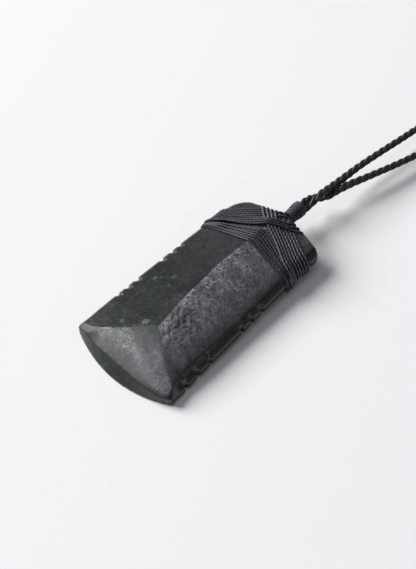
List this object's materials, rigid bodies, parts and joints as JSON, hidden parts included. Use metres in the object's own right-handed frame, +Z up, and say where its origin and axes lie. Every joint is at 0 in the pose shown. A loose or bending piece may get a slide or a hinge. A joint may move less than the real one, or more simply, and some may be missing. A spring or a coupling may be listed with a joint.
{
  "type": "toki adze pendant",
  "caption": "Adze-shaped stone pendant with notched sides, lashed butt with criss-cross thread, whipped bail and twisted neck cord loop.",
  "frame": {"origin": "on the surface that it lies on, below the middle of the pendant: stone, lashing and bail, without the neck cord", "axes": "+Y from the cutting edge to the butt and on along the cord, +Z up from the surface"},
  "size_m": [0.0309, 0.2706, 0.0119],
  "materials": {
    "stone": "satin, hand-polished dark nephrite with green flecks",
    "thread": "waxed twisted thread",
    "cord": "twisted cord"
  },
  "bodies": {
    "root": {"toki_blade": "stone", "lashing": "thread", "bail_whipping": "thread", "neck_cord_left": "cord", "neck_cord_right": "cord", "neck_fastening": "cord"}
  },
  "joints": []
}
